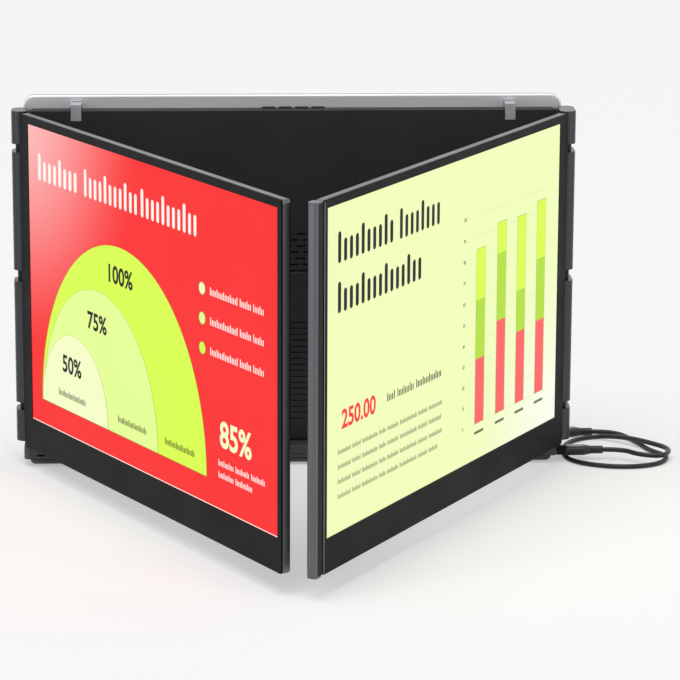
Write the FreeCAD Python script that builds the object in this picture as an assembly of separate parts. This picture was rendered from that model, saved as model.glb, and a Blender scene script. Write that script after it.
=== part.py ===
import FreeCAD, Part
import math
import os

from FreeCAD import Placement, Rotation, Vector

# A two-winged screen extender that hangs on the back of a laptop lid.
# All sizes are millimetres.  X runs along the bracket, -Y is the side that the
# kickstand opens to, +Z is up, and the origin is under the middle of the foot.

# Display wings
SCREEN_WIDTH = 344.7
SCREEN_HEIGHT = 215.4
HINGE_BEZEL = 13.1
END_BEZEL = 5.0
TOP_BEZEL = 5.6
BOTTOM_BEZEL = 23.2
WING_LIFT = 0.9
WING_THICK = 7.2
WING_CORNER = 2.6
WING_BACK_ROUND = 1.4
FOLD_LEFT = 60.7
FOLD_RIGHT = 59.1
BEZEL_THICK = 1.2
GLASS_STEP = 0.4
GLASS_GAP = 0.25
GLASS_BORDER = 2.0
GLASS_THICK = 1.2
BACKLIGHT_THICK = 2.2
SHELL_WALL = 1.2
SHELL_RIM = 1.8
HINGE_WALL = 9.5
BOARD_LENGTH = 92.0
BOARD_HEIGHT = 15.0
BOARD_THICK = 1.0
END_GRIP_LENGTH = 8.6
END_GRIP_GROOVE = 1.0
END_GRIP_NECK = 4.4
END_GRIP_ROUND = 2.2

# Buttons in the lower edge of each wing
BUTTON_LENGTH = 8.0
BUTTON_WIDTH = 2.2
BUTTON_PROUD = 0.8
BUTTON_FLANGE = 0.7
BUTTON_LIP = 0.5
BUTTON_GAP = 0.2
POWER_BUTTON_X = 34.0
BUTTON_PITCH = 14.0

# Two-axis spines
FOLD_SPACE = 5.9
SPINE_RADIUS = 5.9
SPINE_LIFT = 2.7
SPINE_RISE = 0.9
SPINE_CAP = 1.4
SPINE_CAP_ROUND = 0.5
NOTCH_HEIGHTS = (5.4, 8.2, 5.9)
LOW_NOTCH_INSET = 26.3
MIDDLE_NOTCH_RISE = 1.6
HIGH_NOTCH_INSET = 26.6
KNUCKLE_SPACE = 0.3
KNUCKLE_ARM = 3.2
KNUCKLE_BITE = 7.0
KNUCKLE_GAP = 0.35
PIN_RADIUS = 1.4
PIN_CLEARANCE = 0.05
PIN_INSET = 8.0
SIDE_GAP = 0.5
FACE_GAP = 0.4

# Bracket
PANEL_THICK = 5.0
PANEL_DROP = 0.3
PANEL_ROUND = 0.8
COVER_DEPTH = 7.0
COVER_INSET = 2.2
COVER_DROP = 0.3
COVER_WALL = 1.6
MAIN_BOARD_LENGTH = 150.0
MAIN_BOARD_HEIGHT = 46.0
MAIN_BOARD_THICK = 1.6
PLATE_THICK = 4.5
PLATE_RISE = 9.0
PLATE_INSET = 1.8
PLATE_CORNER = 8.5
PLATE_ROUND = 1.5
VENT_WIDTH = 124.0
VENT_SLOT = 7.2
VENT_BRIDGE = 3.2
VENT_HEIGHT = 1.3
VENT_PITCH = 4.5
VENT_COUNT = 6
VENT_RISE = 4.6
TOP_SLOT_LENGTH = 10.0
TOP_SLOT_PITCH = 11.8
TOP_SLOT_COUNT = 4
TOP_SLOT_WIDTH = 3.2
TOP_SLOT_INSET = 1.4
TOP_SLOT_DEPTH = 2.0

# Kickstand let into the panel
STAND_WIDTH = 150.0
STAND_HEIGHT = 126.6
STAND_THICK = 2.8
STAND_GAP = 0.4
STAND_TOP_GAP = 0.9
STAND_PIN = 0.8
STAND_PIN_BITE = 3.0
STAND_PAD = 1.4
RIB_PITCH = 4.5
RIB_COUNT = 17
RIB_RISE = 14.6
RIB_GROOVE = 1.0
RIB_DEPTH = 0.6
RIB_MARGIN = 7.0

# Lid clips
CLIP_INSET = 40.0
CLIP_WIDTH = 7.4
CLIP_LEG = 7.5
CLIP_THICK = 2.4
CLIP_ARM = 3.6
CLIP_RISE = 4.4
CLIP_GAP = 0.4
CLIP_GRIP = 6.2
CLIP_LIP = 13.4
CLIP_PAD = 0.8
CLIP_ROUND = 0.7

# Foot
FOOT_PAST_LEFT_AXIS = 0.5
FOOT_SHORT_OF_RIGHT_AXIS = 3.1
FOOT_FRONT = 17.0
FOOT_BACK = 26.0
FOOT_TOP = 14.4
FOOT_SEAM = 5.6
FOOT_SEAM_GAP = 0.6
FOOT_SEAM_INSET = 1.0
FOOT_BOTTOM = 1.5
FOOT_CORNER = 4.0
FOOT_BELLY = 3.2
FOOT_BASE_INSET = 4.4
FOOT_RIM = 0.6
FOOT_LINE_HEIGHT = 0.5
FOOT_LINE_DEPTH = 0.4
FOOT_PAD_INSET = 22.0
FOOT_PAD_WIDTH = 16.0
LOCK_SLOT_INSET = 12.5
LOCK_SLOT_LENGTH = 5.0
LOCK_SLOT_HEIGHT = 1.4
LOCK_SLOT_DEPTH = 4.0
LOCK_SLOT_RISE = 2.8

# USB-C plugs and socket
PLUG_Y = -9.0
PLUG_Z = 7.6
PLUG_WIDTH = 11.6
PLUG_HEIGHT = 6.8
PLUG_COLLAR = 6.4
PLUG_BODY = 18.4
PLUG_TAPER = 5.4
RELIEF_LENGTH = 9.0
RELIEF_RADIUS = 2.9
TONGUE_WIDTH = 8.3
TONGUE_HEIGHT = 2.4
TONGUE_LENGTH = 6.4
TONGUE_WALL = 0.4
SOCKET_GAP = 0.15
SOCKET_WALL = 0.3
SOCKET_DEPTH = 8.0
SOCKET_BLADE = 0.7
SOCKET_BLADE_INSET = 1.1
PLUG_SEAT_GAP = 0.3

# Cable
CABLE_RADIUS = 1.8
ARC_SHARE = 0.45

# Sizes worked out from the ones above
PANEL_BACK = PANEL_THICK / 2
COVER_BACK = PANEL_BACK + COVER_DEPTH
PLATE_BACK = COVER_BACK + PLATE_THICK
LINK_LEFT = PANEL_THICK / 2 + FACE_GAP + WING_THICK / 2
LINK_RIGHT = LINK_LEFT + WING_THICK + FACE_GAP
KNUCKLE_RADIUS = (LINK_LEFT - KNUCKLE_SPACE) / 2
WING_START = SPINE_RADIUS + SIDE_GAP
SCREEN_START = WING_START + HINGE_BEZEL
WING_END = SCREEN_START + SCREEN_WIDTH + END_BEZEL
WING_BOTTOM = FOOT_TOP + WING_LIFT
SCREEN_BOTTOM = WING_BOTTOM + BOTTOM_BEZEL
SCREEN_TOP = SCREEN_BOTTOM + SCREEN_HEIGHT
WING_TOP = SCREEN_TOP + TOP_BEZEL
WING_FRONT = -WING_THICK / 2
BEZEL_BACK = WING_FRONT + BEZEL_THICK
SPINE_BOTTOM = WING_BOTTOM + SPINE_LIFT
SPINE_TOP = WING_TOP + SPINE_RISE
NOTCH_MIDDLES = (
    SPINE_BOTTOM + LOW_NOTCH_INSET,
    (SPINE_BOTTOM + SPINE_TOP) / 2 + MIDDLE_NOTCH_RISE,
    SPINE_TOP - HIGH_NOTCH_INSET,
)
PANEL_TOP = WING_TOP - PANEL_DROP
PLATE_TOP = PANEL_TOP + PLATE_RISE
CLIP_TOP = PANEL_TOP + CLIP_RISE

# The longer wing, folded flat, ends clear of the other side's spine
AXIS_X = (WING_END + END_GRIP_GROOVE + END_GRIP_LENGTH + FOLD_SPACE + SPINE_RADIUS) / 2
PANEL_HALF = AXIS_X - SPINE_RADIUS - SIDE_GAP
PLATE_HALF = AXIS_X - PLATE_INSET
CLIP_X = AXIS_X - CLIP_INSET
FOOT_LEFT = -AXIS_X - FOOT_PAST_LEFT_AXIS
FOOT_RIGHT = AXIS_X - FOOT_SHORT_OF_RIGHT_AXIS
LOCK_SLOT_X = FOOT_LEFT + LOCK_SLOT_INSET
LOCK_SLOT_Z = FOOT_SEAM + LOCK_SLOT_RISE

STAND_BOTTOM = FOOT_TOP + STAND_PAD + STAND_GAP
STAND_TOP = FOOT_TOP + STAND_HEIGHT
STAND_FRONT = -PANEL_THICK / 2
STAND_BARREL = STAND_THICK / 2
STAND_AXIS_Y = STAND_FRONT + STAND_BARREL
STAND_AXIS_Z = STAND_TOP - STAND_BARREL
RIB_BOTTOM = STAND_BOTTOM + RIB_RISE
VENT_BOTTOM = STAND_TOP + VENT_RISE
PLUG_FRONT_X = FOOT_RIGHT + PLUG_SEAT_GAP
PLUG_END_X = PLUG_FRONT_X + PLUG_COLLAR + PLUG_BODY + RELIEF_LENGTH

# The loose plug lies on the table behind the bracket
LOOSE_PLUG_X = 192.2
LOOSE_PLUG_Y = 56.0
LOOSE_PLUG_Z = PLUG_HEIGHT / 2 + 0.1
LOOSE_PLUG_END_X = LOOSE_PLUG_X + PLUG_COLLAR + PLUG_BODY + RELIEF_LENGTH

# The cable's route, chosen by hand from the loose plug to the seated one
CABLE_ROUTE = [
    (LOOSE_PLUG_END_X, LOOSE_PLUG_Y, LOOSE_PLUG_Z),
    (243.0, LOOSE_PLUG_Y, LOOSE_PLUG_Z),
    (256.0, 35.0, 1.9),
    (263.0, 8.0, 1.9),
    (275.5, -8.0, 1.9),
    (267.5, -28.0, 1.9),
    (245.0, -37.0, 1.9),
    (219.0, -32.0, 1.9),
    (199.5, -16.0, 1.9),
    (198.5, 12.0, 1.9),
    (207.0, 36.0, 1.9),
    (229.0, 50.0, 1.9),
    (250.0, 32.0, 5.4),
    (264.0, 14.0, 6.3),
    (277.5, -4.0, 6.3),
    (270.0, -24.0, 6.3),
    (252.0, -21.0, 6.8),
    (241.2, PLUG_Y, PLUG_Z),
    (PLUG_END_X, PLUG_Y, PLUG_Z),
]


def block(x0, x1, y0, y1, z0, z1):
    """A box between two corners."""
    return Part.makeBox(x1 - x0, y1 - y0, z1 - z0, Vector(x0, y0, z0))


def rod(radius, x, y, z0, z1):
    """An upright cylinder."""
    return Part.makeCylinder(radius, z1 - z0, Vector(x, y, z0))


def bar(radius, x0, x1, y, z):
    """A cylinder along X."""
    return Part.makeCylinder(radius, x1 - x0, Vector(x0, y, z), Vector(1, 0, 0))


def oblong(radius, first, second, z0, z1):
    """An upright slab with round ends at two points of the XY plane."""
    along = second.sub(first)
    along.normalize()
    side = Vector(-along.y, along.x, 0).multiply(radius)
    cap = Vector(along).multiply(radius)
    a = first.add(side)
    b = second.add(side)
    c = second.sub(side)
    d = first.sub(side)
    edges = [Part.makeLine(a, b)]
    edges.append(Part.Arc(b, second.add(cap), c).toShape())
    edges.append(Part.makeLine(c, d))
    edges.append(Part.Arc(d, first.sub(cap), a).toShape())
    face = Part.Face(Part.Wire(edges))
    face.translate(Vector(0, 0, z0))
    return face.extrude(Vector(0, 0, z1 - z0))


def flat_tube(width, height, x0, x1, y, z):
    """A slab along X with a stadium section, wide in Y and low in Z."""
    radius = height / 2
    reach = width / 2 - radius
    slab = oblong(radius, Vector(0, -reach, 0), Vector(0, reach, 0), 0, x1 - x0)
    slab.Placement = Placement(Vector(x0, y, z), Rotation(Vector(0, 1, 0), 90))
    return slab


def edges_along(shape, direction, test=None):
    """The straight edges parallel to a direction whose middle passes a test."""
    found = []
    for edge in shape.Edges:
        if not isinstance(edge.Curve, Part.Line):
            continue
        run = edge.Vertexes[1].Point.sub(edge.Vertexes[0].Point)
        if run.cross(direction).Length > 1e-6 * run.Length:
            continue
        if test is None or test(edge.CenterOfMass):
            found.append(edge)
    return found


def edges_in_plane(shape, axis, value):
    """Every edge that lies in the plane where one coordinate has a value."""
    found = []
    for edge in shape.Edges:
        box = edge.BoundBox
        low, high = ((box.XMin, box.XMax), (box.YMin, box.YMax), (box.ZMin, box.ZMax))[axis]
        if abs(low - value) < 1e-4 and abs(high - value) < 1e-4:
            found.append(edge)
    return found


def join(shapes):
    """One solid from shapes that touch or overlap."""
    whole = shapes[0].fuse(shapes[1:])
    return whole.removeSplitter()


def notch_spans():
    """The lower and upper height of each notch in a spine."""
    spans = []
    for middle, height in zip(NOTCH_MIDDLES, NOTCH_HEIGHTS):
        spans.append((middle - height / 2, middle + height / 2))
    return spans


def knuckle_spans():
    """The lower and upper height of each knuckle, a gap inside its notch."""
    return [(low + KNUCKLE_GAP, high - KNUCKLE_GAP) for low, high in notch_spans()]


# Wing, drawn flat: X runs from its own hinge axis to its free end and the
# display faces -Y.

def wing_outline(y0, y1):
    body = block(WING_START, WING_END, y0, y1, WING_BOTTOM, WING_TOP)
    return body.makeFillet(WING_CORNER, edges_along(body, Vector(0, 1, 0)))


def wing_front_bezel():
    plate = wing_outline(WING_FRONT, BEZEL_BACK)
    plate = plate.makeChamfer(GLASS_STEP, edges_in_plane(plate, 1, WING_FRONT))
    window = block(SCREEN_START, SCREEN_START + SCREEN_WIDTH, WING_FRONT - 1, BEZEL_BACK + 1,
                   SCREEN_BOTTOM, SCREEN_TOP)
    return plate.cut(window)


def knuckle_arms(margin):
    """The arms that run from the hinge axis into a wing or into the bracket."""
    half = KNUCKLE_ARM / 2 + margin
    end = WING_START + KNUCKLE_BITE
    return [block(0, end, -half, half, low - margin, high + margin) for low, high in knuckle_spans()]


def knuckles():
    """Three barrels on one axis, each with the arm that carries its leaf."""
    parts = []
    for (low, high), arm in zip(knuckle_spans(), knuckle_arms(0)):
        barrel = rod(KNUCKLE_RADIUS, 0, 0, low, high).fuse(arm)
        hole = rod(PIN_RADIUS + PIN_CLEARANCE, 0, 0, low - 1, high + 1)
        parts.append(barrel.cut(hole))
    return Part.makeCompound(parts)


def wing_back_shell():
    shell = wing_outline(BEZEL_BACK, WING_THICK / 2)
    shell = shell.makeFillet(WING_BACK_ROUND, edges_in_plane(shell, 1, WING_THICK / 2))
    cavity = block(WING_START + HINGE_WALL, WING_END - SHELL_RIM, BEZEL_BACK - 1,
                   WING_THICK / 2 - SHELL_WALL, WING_BOTTOM + SHELL_RIM, WING_TOP - SHELL_RIM)
    shell = shell.cut(cavity)
    for arm in knuckle_arms(0):
        shell = shell.cut(arm)
    for x in button_places():
        shell = shell.cut(button_hole(x))
    return shell


def wing_display_panel():
    """The glass: a wide base behind the bezel and the lit area stepped into its window."""
    end = SCREEN_START + SCREEN_WIDTH
    base = block(SCREEN_START - GLASS_BORDER, end + GLASS_BORDER, BEZEL_BACK, BEZEL_BACK + GLASS_THICK,
                 SCREEN_BOTTOM - GLASS_BORDER, SCREEN_TOP + GLASS_BORDER)
    lit = block(SCREEN_START + GLASS_GAP, end - GLASS_GAP, WING_FRONT + GLASS_STEP, BEZEL_BACK,
                SCREEN_BOTTOM + GLASS_GAP, SCREEN_TOP - GLASS_GAP)
    return join([base, lit])


def wing_backlight():
    end = SCREEN_START + SCREEN_WIDTH
    front = BEZEL_BACK + GLASS_THICK
    return block(SCREEN_START - GLASS_BORDER, end + GLASS_BORDER, front, front + BACKLIGHT_THICK,
                 SCREEN_BOTTOM - GLASS_BORDER, SCREEN_TOP + GLASS_BORDER)


def wing_driver_board():
    back = WING_THICK / 2 - SHELL_WALL
    low = SCREEN_BOTTOM - GLASS_BORDER - GLASS_GAP - BOARD_HEIGHT
    return block(SCREEN_START, SCREEN_START + BOARD_LENGTH, back - BOARD_THICK, back,
                 low, low + BOARD_HEIGHT)


def button_places():
    return [POWER_BUTTON_X, POWER_BUTTON_X + BUTTON_PITCH]


def button_slab(x, length, width, z0, z1):
    """A slab for a button or its hole, in the middle of the shell's lower edge."""
    middle = (BEZEL_BACK + WING_THICK / 2) / 2
    return block(x - length / 2, x + length / 2, middle - width / 2, middle + width / 2, z0, z1)


def button_hole(x):
    inner = WING_BOTTOM + SHELL_RIM
    return button_slab(x, BUTTON_LENGTH + 2 * BUTTON_GAP, BUTTON_WIDTH + 2 * BUTTON_GAP,
                       WING_BOTTOM - 1, inner + 1)


def wing_button(x):
    inner = WING_BOTTOM + SHELL_RIM
    stem = button_slab(x, BUTTON_LENGTH, BUTTON_WIDTH, WING_BOTTOM - BUTTON_PROUD, inner)
    stem = stem.makeFillet(BUTTON_PROUD / 2, edges_in_plane(stem, 2, WING_BOTTOM - BUTTON_PROUD))
    flange = button_slab(x, BUTTON_LENGTH + 2 * BUTTON_LIP, BUTTON_WIDTH + 2 * BUTTON_LIP,
                         inner, inner + BUTTON_FLANGE)
    return join([stem, flange])


def wing_end_grip():
    """The closing grip on the free end, behind a dark groove."""
    start = WING_END + END_GRIP_GROOVE
    grip = block(start, start + END_GRIP_LENGTH, WING_FRONT, WING_THICK / 2, WING_BOTTOM, WING_TOP)
    grip = grip.makeFillet(END_GRIP_ROUND, edges_along(grip, Vector(0, 0, 1)))
    neck = block(WING_END, start + END_GRIP_ROUND, -END_GRIP_NECK / 2, END_GRIP_NECK / 2,
                 WING_BOTTOM + WING_CORNER, WING_TOP - WING_CORNER)
    return join([grip, neck])


def left_wing(shape):
    """Puts a flat wing piece on the left spine at its resting fold."""
    placed = shape.copy()
    placed.rotate(Vector(0, 0, 0), Vector(0, 0, 1), -FOLD_LEFT)
    placed.translate(Vector(-AXIS_X, -LINK_LEFT, 0))
    return placed


def right_wing(shape):
    """Mirrors a flat wing piece and puts it on the right spine."""
    placed = shape.mirror(Vector(0, 0, 0), Vector(1, 0, 0))
    placed.rotate(Vector(0, 0, 0), Vector(0, 0, 1), FOLD_RIGHT)
    placed.translate(Vector(AXIS_X, -LINK_RIGHT, 0))
    return placed


def wings():
    pieces = {
        "front_bezel": wing_front_bezel(),
        "back_shell": wing_back_shell(),
        "display_panel": wing_display_panel(),
        "backlight": wing_backlight(),
        "driver_board": wing_driver_board(),
        "wing_knuckles": knuckles(),
        "power_button": wing_button(button_places()[0]),
        "menu_button": wing_button(button_places()[1]),
    }
    nodes = {}
    for name, piece in pieces.items():
        nodes[name + "_left"] = left_wing(piece)
        nodes[name + "_right"] = right_wing(piece)
    nodes["end_grip_right"] = right_wing(wing_end_grip())
    return nodes


# Spines: columns that carry one pin on the bracket's edge and one on the wing's

def spine_column(link, z0, z1):
    return oblong(SPINE_RADIUS, Vector(0, 0, 0), Vector(0, -link, 0), z0, z1)


def spine_segments(link):
    """The column between its notches, bored for both pins."""
    levels = [SPINE_BOTTOM + SPINE_CAP]
    for low, high in notch_spans():
        levels += [low, high]
    levels.append(SPINE_TOP - SPINE_CAP)
    segments = []
    for low, high in zip(levels[0::2], levels[1::2]):
        segment = spine_column(link, low, high)
        for y in (0, -link):
            segment = segment.cut(rod(PIN_RADIUS + PIN_CLEARANCE, 0, y,
                                      SPINE_BOTTOM + PIN_INSET, SPINE_TOP - PIN_INSET))
        segments.append(segment)
    return Part.makeCompound(segments)


def spine_caps(link):
    low = spine_column(link, SPINE_BOTTOM, SPINE_BOTTOM + SPINE_CAP)
    low = low.makeFillet(SPINE_CAP_ROUND, edges_in_plane(low, 2, SPINE_BOTTOM))
    high = spine_column(link, SPINE_TOP - SPINE_CAP, SPINE_TOP)
    high = high.makeFillet(SPINE_CAP_ROUND, edges_in_plane(high, 2, SPINE_TOP))
    return Part.makeCompound([low, high])


def hinge_pin(y):
    return rod(PIN_RADIUS, 0, y, SPINE_BOTTOM + PIN_INSET, SPINE_TOP - PIN_INSET)


def spines():
    nodes = {}
    for side, x, link in (("left", -AXIS_X, LINK_LEFT), ("right", AXIS_X, LINK_RIGHT)):
        pieces = {
            "spine_": spine_segments(link),
            "spine_caps_": spine_caps(link),
            "bracket_pin_": hinge_pin(0),
            "wing_pin_": hinge_pin(-link),
        }
        for name, piece in pieces.items():
            piece.translate(Vector(x, 0, 0))
            nodes[name + side] = piece
    return nodes


# Bracket

def bracket_knuckles(side):
    leaf = knuckles()
    if side > 0:
        leaf = leaf.mirror(Vector(0, 0, 0), Vector(1, 0, 0))
    leaf.translate(Vector(side * AXIS_X, 0, 0))
    return leaf


def front_panel():
    panel = block(-PANEL_HALF, PANEL_HALF, -PANEL_BACK, PANEL_BACK, FOOT_TOP, PANEL_TOP)
    front_rim = [edge for edge in edges_in_plane(panel, 1, -PANEL_BACK)
                 if edge.CenterOfMass.z > FOOT_TOP + 1]
    panel = panel.makeFillet(PANEL_ROUND, front_rim)
    panel = panel.cut(stand_pocket())
    panel = panel.cut(stand_pin())
    for x in (-CLIP_X, CLIP_X):
        panel = panel.cut(clip_recess(x))
    panel = panel.cut(vent_slots())
    for side in (-1, 1):
        for arm in knuckle_arms(0):
            placed = arm if side < 0 else arm.mirror(Vector(0, 0, 0), Vector(1, 0, 0))
            placed.translate(Vector(side * AXIS_X, 0, 0))
            panel = panel.cut(placed)
    return panel


def vent_slots():
    """Rows of short slots, each row half a pitch along from the one below."""
    pitch = VENT_SLOT + VENT_BRIDGE
    slots = []
    for row in range(VENT_COUNT):
        z = VENT_BOTTOM + row * VENT_PITCH
        count = int(VENT_WIDTH / pitch) - row % 2
        for index in range(count):
            x = (index - (count - 1) / 2) * pitch
            slots.append(block(x - VENT_SLOT / 2, x + VENT_SLOT / 2, -PANEL_BACK - 1, 0, z, z + VENT_HEIGHT))
    return Part.makeCompound(slots)


def rear_cover():
    half = PANEL_HALF - COVER_INSET
    top = PANEL_TOP - COVER_DROP
    cover = block(-half, half, PANEL_BACK, COVER_BACK, FOOT_TOP, top)
    cavity = block(-half + COVER_WALL, half - COVER_WALL, PANEL_BACK - 1, COVER_BACK - COVER_WALL,
                   FOOT_TOP + COVER_WALL, top - CLIP_ARM - COVER_WALL)
    cover = cover.cut(cavity)
    first = -TOP_SLOT_PITCH * (TOP_SLOT_COUNT - 1) / 2
    for index in range(TOP_SLOT_COUNT):
        x = first + index * TOP_SLOT_PITCH
        cover = cover.cut(block(x - TOP_SLOT_LENGTH / 2, x + TOP_SLOT_LENGTH / 2,
                                COVER_BACK - TOP_SLOT_INSET - TOP_SLOT_WIDTH, COVER_BACK - TOP_SLOT_INSET,
                                top - TOP_SLOT_DEPTH, top + 1))
    return cover


def main_board():
    back = COVER_BACK - COVER_WALL
    low = FOOT_TOP + COVER_WALL
    return block(-MAIN_BOARD_LENGTH / 2, MAIN_BOARD_LENGTH / 2, back - MAIN_BOARD_THICK, back,
                 low, low + MAIN_BOARD_HEIGHT)


def back_plate():
    plate = block(-PLATE_HALF, PLATE_HALF, COVER_BACK, PLATE_BACK, FOOT_TOP, PLATE_TOP)
    corners = edges_along(plate, Vector(0, 1, 0), lambda middle: middle.z > PLATE_TOP - 1)
    plate = plate.makeFillet(PLATE_CORNER, corners)
    rims = [edge for edge in edges_in_plane(plate, 1, COVER_BACK) + edges_in_plane(plate, 1, PLATE_BACK)
            if edge.CenterOfMass.z > FOOT_TOP + 1]
    plate = plate.makeFillet(PLATE_ROUND, rims)
    for x in (-CLIP_X, CLIP_X):
        half_hole = CLIP_WIDTH / 2 + CLIP_GAP
        plate = plate.cut(block(x - half_hole, x + half_hole, COVER_BACK - 1, PLATE_BACK + 1,
                                CLIP_TOP - CLIP_ARM - CLIP_GAP, CLIP_TOP + CLIP_GAP))
    return plate


# Kickstand, hinged at its upper edge in a pocket of the front panel

def stand_pocket():
    half = STAND_WIDTH / 2 + STAND_GAP
    depth = STAND_THICK + STAND_GAP
    return block(-half, half, STAND_FRONT - 1, STAND_FRONT + depth, FOOT_TOP - 1, STAND_TOP + STAND_TOP_GAP)


def stand_pin():
    """The pin, pressed into the panel on both sides of the pocket."""
    reach = STAND_WIDTH / 2 + STAND_GAP + STAND_PIN_BITE
    return bar(STAND_PIN, -reach, reach, STAND_AXIS_Y, STAND_AXIS_Z)


def kickstand():
    half = STAND_WIDTH / 2
    plate = block(-half, half, STAND_FRONT, STAND_FRONT + STAND_THICK, STAND_BOTTOM, STAND_AXIS_Z)
    plate = join([plate, bar(STAND_BARREL, -half, half, STAND_AXIS_Y, STAND_AXIS_Z)])
    plate = plate.cut(bar(STAND_PIN + PIN_CLEARANCE, -half - 1, half + 1, STAND_AXIS_Y, STAND_AXIS_Z))
    for index in range(RIB_COUNT):
        z = RIB_BOTTOM + index * RIB_PITCH
        plate = plate.cut(block(-half + RIB_MARGIN, half - RIB_MARGIN, STAND_FRONT - 1,
                                STAND_FRONT + RIB_DEPTH, z, z + RIB_GROOVE))
    return plate


def kickstand_pad():
    half = STAND_WIDTH / 2
    return block(-half, half, STAND_FRONT, STAND_FRONT + STAND_THICK, STAND_BOTTOM - STAND_PAD, STAND_BOTTOM)


# Lid clips: an L that slides front to back and grips the lid against the plate

def clip_recess(x):
    half = CLIP_WIDTH / 2 + CLIP_GAP
    low = PANEL_TOP - CLIP_LEG - CLIP_GAP
    return block(x - half, x + half, -PANEL_BACK - 1, -PANEL_BACK + CLIP_THICK + CLIP_GAP, low, PANEL_TOP + 1)


def lid_clip(x):
    x0 = x - CLIP_WIDTH / 2
    x1 = x + CLIP_WIDTH / 2
    lip_front = PLATE_BACK + CLIP_GRIP
    leg = block(x0, x1, -PANEL_BACK, -PANEL_BACK + CLIP_THICK, PANEL_TOP - CLIP_LEG, CLIP_TOP)
    arm = block(x0, x1, -PANEL_BACK, lip_front + CLIP_THICK, CLIP_TOP - CLIP_ARM, CLIP_TOP)
    lip = block(x0, x1, lip_front, lip_front + CLIP_THICK, CLIP_TOP - CLIP_LIP, CLIP_TOP)
    clip = join([leg, arm, lip])
    outer = edges_along(clip, Vector(1, 0, 0), lambda middle: middle.z > CLIP_TOP - 0.1)
    return clip.makeFillet(CLIP_ROUND, outer)


def clip_pad(x):
    """The soft pad on the inside of the lip."""
    half = CLIP_WIDTH / 2
    back = PLATE_BACK + CLIP_GRIP
    return block(x - half, x + half, back - CLIP_PAD, back, CLIP_TOP - CLIP_LIP, CLIP_TOP - CLIP_ARM - CLIP_PAD)


# Foot

def foot_body(z0, z1, end_inset, side_inset):
    body = block(FOOT_LEFT + end_inset, FOOT_RIGHT - end_inset, -FOOT_FRONT + side_inset,
                 FOOT_BACK - side_inset, z0, z1)
    return body.makeFillet(FOOT_CORNER - side_inset, edges_along(body, Vector(0, 0, 1)))


def foot_rail():
    """The upper half, with a line and a lock slot in its front face."""
    rail = foot_body(FOOT_SEAM, FOOT_TOP, 0, 0)
    rail = rail.makeFillet(FOOT_RIM, edges_in_plane(rail, 2, FOOT_TOP))
    line = block(FOOT_LEFT + FOOT_CORNER, FOOT_RIGHT - FOOT_CORNER, -FOOT_FRONT - 1,
                 -FOOT_FRONT + FOOT_LINE_DEPTH,
                 LOCK_SLOT_Z - FOOT_LINE_HEIGHT / 2, LOCK_SLOT_Z + FOOT_LINE_HEIGHT / 2)
    lock = block(LOCK_SLOT_X - LOCK_SLOT_LENGTH / 2, LOCK_SLOT_X + LOCK_SLOT_LENGTH / 2,
                 -FOOT_FRONT - 1, -FOOT_FRONT + LOCK_SLOT_DEPTH,
                 LOCK_SLOT_Z - LOCK_SLOT_HEIGHT / 2, LOCK_SLOT_Z + LOCK_SLOT_HEIGHT / 2)
    rail = rail.cut([line, lock])
    return rail.cut(socket_envelope())


def foot_base():
    """The lower half, shorter than the rail and rounded along its bottom edges."""
    base = foot_body(FOOT_BOTTOM, FOOT_SEAM - FOOT_SEAM_GAP, FOOT_BASE_INSET, 0)
    base = base.makeFillet(FOOT_BELLY, edges_in_plane(base, 2, FOOT_BOTTOM))
    neck = foot_body(FOOT_SEAM - FOOT_SEAM_GAP, FOOT_SEAM, FOOT_BASE_INSET + FOOT_SEAM_INSET,
                     FOOT_SEAM_INSET)
    return join([base, neck]).cut(socket_envelope())


def foot_pad():
    half_width = FOOT_PAD_WIDTH / 2
    return block(FOOT_LEFT + FOOT_PAD_INSET, FOOT_RIGHT - FOOT_PAD_INSET, -half_width, half_width,
                 0, FOOT_BOTTOM)


# USB-C socket in the end of the foot, and the plugs

def socket_envelope():
    margin = SOCKET_GAP + SOCKET_WALL
    return flat_tube(TONGUE_WIDTH + 2 * margin, TONGUE_HEIGHT + 2 * margin,
                     FOOT_RIGHT - SOCKET_DEPTH, FOOT_RIGHT + 1, PLUG_Y, PLUG_Z)


def usb_socket():
    margin = SOCKET_GAP + SOCKET_WALL
    start = FOOT_RIGHT - SOCKET_DEPTH
    shell = flat_tube(TONGUE_WIDTH + 2 * margin, TONGUE_HEIGHT + 2 * margin, start, FOOT_RIGHT, PLUG_Y, PLUG_Z)
    mouth = flat_tube(TONGUE_WIDTH + 2 * SOCKET_GAP, TONGUE_HEIGHT + 2 * SOCKET_GAP,
                      start + SOCKET_BLADE, FOOT_RIGHT + 1, PLUG_Y, PLUG_Z)
    half = TONGUE_WIDTH / 2 - SOCKET_BLADE_INSET
    blade = block(start, FOOT_RIGHT - SOCKET_BLADE_INSET, PLUG_Y - half, PLUG_Y + half,
                  PLUG_Z - SOCKET_BLADE / 2, PLUG_Z + SOCKET_BLADE / 2)
    return join([shell.cut(mouth), blade])


def plug_tongue(x, y, z):
    """The metal mouth of a plug, which points to -X."""
    shell = flat_tube(TONGUE_WIDTH, TONGUE_HEIGHT, x - TONGUE_LENGTH, x, y, z)
    hollow = flat_tube(TONGUE_WIDTH - 2 * TONGUE_WALL, TONGUE_HEIGHT - 2 * TONGUE_WALL,
                       x - TONGUE_LENGTH - 1, x - TONGUE_WALL, y, z)
    return shell.cut(hollow)


def plug_collar(x, y, z):
    """The narrower front of the plug's moulding."""
    return flat_tube(PLUG_WIDTH - 2 * TONGUE_WALL, PLUG_HEIGHT - 2 * TONGUE_WALL, x, x + PLUG_COLLAR, y, z)


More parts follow.
